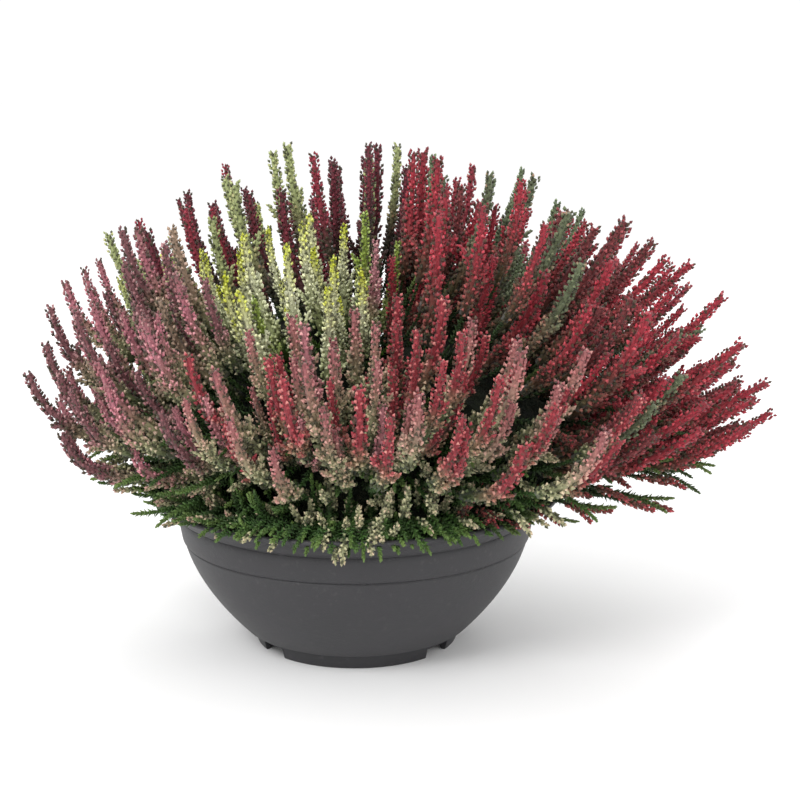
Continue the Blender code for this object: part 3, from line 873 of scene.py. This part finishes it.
def across_path(path, shares):
    """Points at these shares of a path's length, and the two directions across it at each."""
    run = np.concatenate([[0], np.cumsum(np.linalg.norm(np.diff(path, axis=0), axis=1))])
    at = run[-1] * shares
    way = unit(np.gradient(path, run, axis=0))
    centre = np.stack([np.interp(at, run, path[:, axis]) for axis in range(3)], axis=1)
    ahead = unit(np.stack([np.interp(at, run, way[:, axis]) for axis in range(3)], axis=1))
    guide = np.eye(3)[np.abs(way).max(axis=0).argmin()]
    side = unit(np.cross(ahead, guide))
    return centre, side, np.cross(ahead, side)


def bend_into(bm, model, model_length, path, low, high, turn, thick, tint, slot=0, climb=(0, 1)):
    """Adds a copy of a straight model, bent along a stretch of a path and turned about it."""
    copy = model.copy()
    place = read_rows(copy.vertices, "co")
    centre, side, front = across_path(path, low + (high - low) * place[:, 2] / model_length)
    across = (place[:, 0] * math.cos(turn) - place[:, 1] * math.sin(turn)) * thick
    along = (place[:, 0] * math.sin(turn) + place[:, 1] * math.cos(turn)) * thick
    bent = centre + side * across[:, None] + front * along[:, None]
    copy.vertices.foreach_set("co", bent.astype(np.float32).ravel())
    looks = copy.attributes["look"].data
    look = read_rows(looks, "vector")
    look[:, 1] = climb[0] + (climb[1] - climb[0]) * look[:, 1]
    look[:, 2] = tint
    looks.foreach_set("vector", look.ravel())
    copy.polygons.foreach_set("material_index", np.full(len(copy.polygons), slot, dtype=np.int32))
    bm.from_mesh(copy)
    bpy.data.meshes.remove(copy)


# Plants

def length_of(path):
    return np.linalg.norm(np.diff(path, axis=0), axis=1).sum()


def clothe(bm, models, path, high, draw, tint, slot, climb, thick=1.05):
    """Needles along a path from its start to a share of its length, in shoots end to end."""
    lengths = max(1, round(length_of(path) * high / SPRIG_LENGTH))
    for i in range(lengths):
        near, far = i / lengths, (i + 1) / lengths
        steps = [climb[0] + (climb[1] - climb[0]) * share for share in (near, far)]
        bend_into(bm, draw.choice(models["shoots"]), SPRIG_LENGTH, path, near * high, far * high,
                  draw.uniform(0, TURN), thick * draw.uniform(*NEEDLES_VARY), tint, slot, steps)


def grow_spike(bm, models, start, tip, way, draw):
    """One stem: needles up to the flowers, then buds to the tip."""
    path = path_of(start, tip, way)
    length = length_of(path)
    flower = min(FLOWER_LENGTH * draw.uniform(*FLOWER_VARIES), length * FLOWER_MOST)
    foot = 1 - flower / length
    slim, stout = THICK_LIMITS
    thick = min(max(flower / MODEL_LENGTH, slim), stout) * draw.uniform(*THICK_VARIES)
    tint = draw.random()
    bend_into(bm, draw.choice(models["spikes"]), MODEL_LENGTH, path, foot, 1, draw.uniform(0, TURN),
              thick, tint)
    if foot * length > BARE_STEM:
        clothe(bm, models, path, foot + UNDER_BUDS, draw, tint, 1, (0, 0.6))


def make_spray(node, spray, infill, models, finishes, draw):
    """A spray of flower spikes, with the shorter spikes that stand nearest to it."""
    bm = bmesh.new()
    bm.verts.layers.float_vector.new("look")
    start = root_of(middle_of(spray), INNER_SCALE)
    for tip, way in spray + infill:
        foot = start.lerp(root_of(tip, FOOT_SCALE), 0.5)
        grow_spike(bm, models, foot, tip, way, draw)
    piece = new_piece(node + "_fine", bm, *finishes)
    piece.data.shade_smooth()
    settle(piece, node, node.split("_")[0] + "_buds")


def core_hull(name, tips):
    """The dense inside of a plant, which its shoots and sprays stand out of."""
    bm = bmesh.new()
    roots = [root_of(tip, INNER_SCALE) for tip, way in tips]
    for root in roots:
        bm.verts.new(root)
    crown = Vector(PLANTS[name]["crown"])
    feet = [crown.lerp(root.xy, FOOT_SHARE) for root in roots]
    for i in range(CROWN_SIDES):
        turn = math.tau * i / CROWN_SIDES
        feet.append(crown + Vector((math.cos(turn), math.sin(turn))) * ROOT_SPREAD)
    for foot in feet:
        foot *= min(1, SOIL_FLAT / foot.length)
        bm.verts.new((foot.x, foot.y, SOIL_TOP + FIT))
    hull = bmesh.ops.convex_hull(bm, input=bm.verts, use_existing_faces=False)
    loose = [item for item in hull["geom_interior"] if isinstance(item, bmesh.types.BMVert)]
    bmesh.ops.delete(bm, geom=loose, context="VERTS")
    bmesh.ops.recalc_face_normals(bm, faces=bm.faces)
    return bm


def roughen(bm):
    """Makes the hull's flats a tangled, lumpy surface."""
    bmesh.ops.subdivide_edges(bm, edges=bm.edges, cuts=3, use_grid_fill=True)
    bmesh.ops.triangulate(bm, faces=bm.faces)
    bm.normal_update()
    for vert in bm.verts:
        if vert.co.z > SOIL_TOP + 0.004:
            vert.co += vert.normal * (noise.noise(vert.co * 110) * 0.006 - 0.003)
    # The hull wears the painted shade finish.
    for face in bm.faces:
        face.material_index = 1


def spots_on(bm, count, draw):
    """Random spots over a hull, with the way that each faces."""
    faces = [face for face in bm.faces if face.normal.z > -0.5]
    areas = [face.calc_area() for face in faces]
    spots = []
    for face in draw.choices(faces, weights=areas, k=count):
        shares = [draw.random() for vert in face.verts]
        total = sum(shares)
        spot = sum((vert.co * share / total for vert, share in zip(face.verts, shares)), Vector())
        spots.append((spot, face.normal.copy()))
    return spots


def inner_shoots(hull, count, draw):
    """Short leafy shoots all over a plant's core, as (start, tip, way)."""
    shoots = []
    for spot, normal in spots_on(hull, count, draw):
        outward = Vector((spot.x, spot.y, 0)).normalized()
        way = (normal * 0.7 + Vector((0, 0, 0.5)) + outward * 0.5).normalized()
        length = draw.uniform(*INNER_LENGTHS)
        tip = spot + (normal + way).normalized() * length
        if tip.xy.length > RIM_RADIUS - 0.012:
            tip.z = max(tip.z, RIM_HEIGHT + 0.008)
        shoots.append((spot, tip, way))
    return shoots


def skirt_shoots(count, low, high, near, far, draw):
    """Leafy shoots all round over the rim, between two heights, by plant, as (start, tip, way)."""
    shoots = {name: [] for name in PLANTS}
    for i in range(count):
        azimuth = math.tau * (i + draw.uniform(-0.4, 0.4)) / count
        edge = dome_point(math.pi / 2, azimuth, 1)
        front = max(-math.sin(azimuth), 0) ** 3
        tip = HEART.lerp(edge, draw.uniform(near, far) - SKIRT_FRONT_IN * front)
        tip.z = draw.uniform(low, high) - SKIRT_FRONT_DOWN * front
        out = Vector((math.cos(azimuth), math.sin(azimuth), 0))
        start = HEART.lerp(edge, draw.uniform(*SKIRT_START))
        start.z = tip.z + draw.uniform(*SKIRT_RISE)
        way = (out + Vector((0, 0, draw.uniform(*SKIRT_SLOPE)))).normalized()
        shoots[plant_at(edge)].append((start, tip, way))
    return shoots


def drape_shoots(count, draw):
    """Short shoots that lie over the rim, and lower at the front, as (start, tip, way)."""
    shoots = {name: [] for name in PLANTS}
    near, far = DRAPE_PAST
    for i in range(count):
        azimuth = GOLDEN * i
        front = max(-math.sin(azimuth), 0)
        edge = dome_point(math.pi / 2, azimuth, 1)
        out = Vector((math.cos(azimuth), math.sin(azimuth), 0))
        start = out * draw.uniform(*DRAPE_START) + Vector((0, 0, SOIL_TOP + DRAPE_RISE))
        tip = out * draw.uniform(RIM_RADIUS + near, RIM_RADIUS + far)
        tip.z = RIM_HEIGHT + draw.uniform(*DRAPE_LIFT) - DRAPE_FRONT_DOWN * front ** 2
        over = RIM_HEIGHT + DRAPE_CLEAR + 0.5 * (RIM_RADIUS + far - tip.xy.length) - tip.z
        down = -max(over, 0) * DRAPE_STEEP + draw.uniform(0.0, 0.6)
        way = (out + Vector((0, 0, down))).normalized()
        shoots[plant_at(edge)].append((start, tip, way))
    return shoots


def mound_shoots(count, draw):
    """Short bushy shoots between the plants and the rim, by plant, as (start, tip, way)."""
    shoots = {name: [] for name in PLANTS}
    for i in range(count):
        azimuth = GOLDEN * i
        edge = dome_point(math.pi / 2, azimuth, 1)
        out = Vector((math.cos(azimuth), math.sin(azimuth), 0))
        start = out * draw.uniform(*MOUND_START)
        start.z = SOIL_TOP + draw.uniform(*MOUND_RISE)
        lean = math.radians(draw.uniform(*MOUND_LEAN))
        way = way_of(lean, azimuth + draw.uniform(-0.5, 0.5))
        length = draw.uniform(*MOUND_LENGTHS)
        bowed = way_of(lean * 0.6, azimuth + draw.uniform(-0.8, 0.8))
        shoots[plant_at(edge)].append((start, start + way * length, bowed))
    return shoots


def make_greens(name, tips, groups, models, finishes, draw):
    """A plant's leafy body: its core, a dark sheet of painted shade, short shoots all over it and a
    fringe over the rim.
    """
    hull = core_hull(name, tips)
    count = INNER_LEAST + round(len(tips) * INNER_PER_SPIKE)
    groups = [(inner_shoots(hull, count, draw), INNER_TUFTS)] + groups
    roughen(hull)
    hull.verts.layers.float_vector.new("look")
    shoots = [(*shoot, share) for group, share in groups for shoot in group]
    for start, tip, way, tuft_share in shoots:
        path = path_of(start, tip, way, 12)
        tint = draw.random()
        if draw.random() < tuft_share:
            bare = max(1 - TUFT_LENGTH * TUFT_STRETCH / length_of(path), 0.25)
            bend_into(hull, draw.choice(models["tufts"]), TUFT_LENGTH, path, bare, 1,
                      draw.uniform(0, TURN), 1, 1, slot=2, climb=TUFT_CLIMB)
            clothe(hull, models, path, min(bare + 0.15, 1), draw, tint, 0, (0.3, 0.7), SHOOT_THICK)
        else:
            clothe(hull, models, path, 1, draw, tint, 0, (0.3, 1), SHOOT_THICK)
    piece = new_piece(name + "_foliage", hull, *finishes)
    piece.data.shade_smooth()
    settle(piece, name + "_greens", "heather_leaf")


def kept_sprays(name, tips):
    """A plant's sprays by node, as far as the frame has them."""
    sprays = group_sprays(tips)
    nodes = ["%s_spray_%02d" % (name, index) for index in range(1, len(sprays) + 1)]
    return {node: spray for node, spray in zip(nodes, sprays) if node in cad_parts}


def nearest_spray(sprays, tip):
    return min(sprays, key=lambda node: (middle_of(sprays[node]) - tip).length)


def make_plant(name, tips, infill, groups, shared, shade, draw):
    """One plant: its sprays, each with the shorter spikes nearest to it, then its greens."""
    needles = leaf_finish(name, PLANTS[name])
    spikes = [bud_spike(PLANTS[name], draw) for i in range(SPIKE_KINDS)]
    models = {"spikes": spikes, **shared}
    sprays = kept_sprays(name, tips)
    extra = {node: [] for node in sprays}
    for tip, way in infill:
        extra[nearest_spray(sprays, tip)].append((tip, way))
    buds = bud_finish(name, PLANTS[name])
    for node, spray in sprays.items():
        make_spray(node, spray, extra[node], models, (buds, needles), draw)
    make_greens(name, tips, groups, models, (needles, shade, buds), draw)
    for mesh in spikes:
        bpy.data.meshes.remove(mesh)


def make_plants():
    """All the plants, with the greens round the rim shared out among them."""
    tips = spread_tips(SPIKES, SPIKE_SEED, *SPIKE_REACH)
    infill = spread_tips(INFILL, INFILL_SEED, *INFILL_REACH, start=INFILL_START)
    draw = random.Random(GROWTH_SEED)
    groups = [(skirt_shoots(*FRINGE, draw), FRINGE_TUFTS), (skirt_shoots(*RUFF, draw), RUFF_TUFTS),
              (mound_shoots(MOUND_SHOOTS, draw), MOUND_TUFTS),
              (drape_shoots(DRAPE_SHOOTS, draw), DRAPE_TUFTS)]
    shade = shade_finish()
    shared = {"shoots": [leafy_shoot(draw) for i in range(SPRIG_KINDS)],
              "tufts": [bud_tuft(draw) for i in range(SPRIG_KINDS)]}
    for name in PLANTS:
        greens = [(shoots[name], share) for shoots, share in groups]
        make_plant(name, tips[name], infill[name], greens, shared, shade, draw)
    for mesh in shared["shoots"] + shared["tufts"]:
        bpy.data.meshes.remove(mesh)


make_camera()
make_stage()
make_bowl()
make_soil()
make_plants()
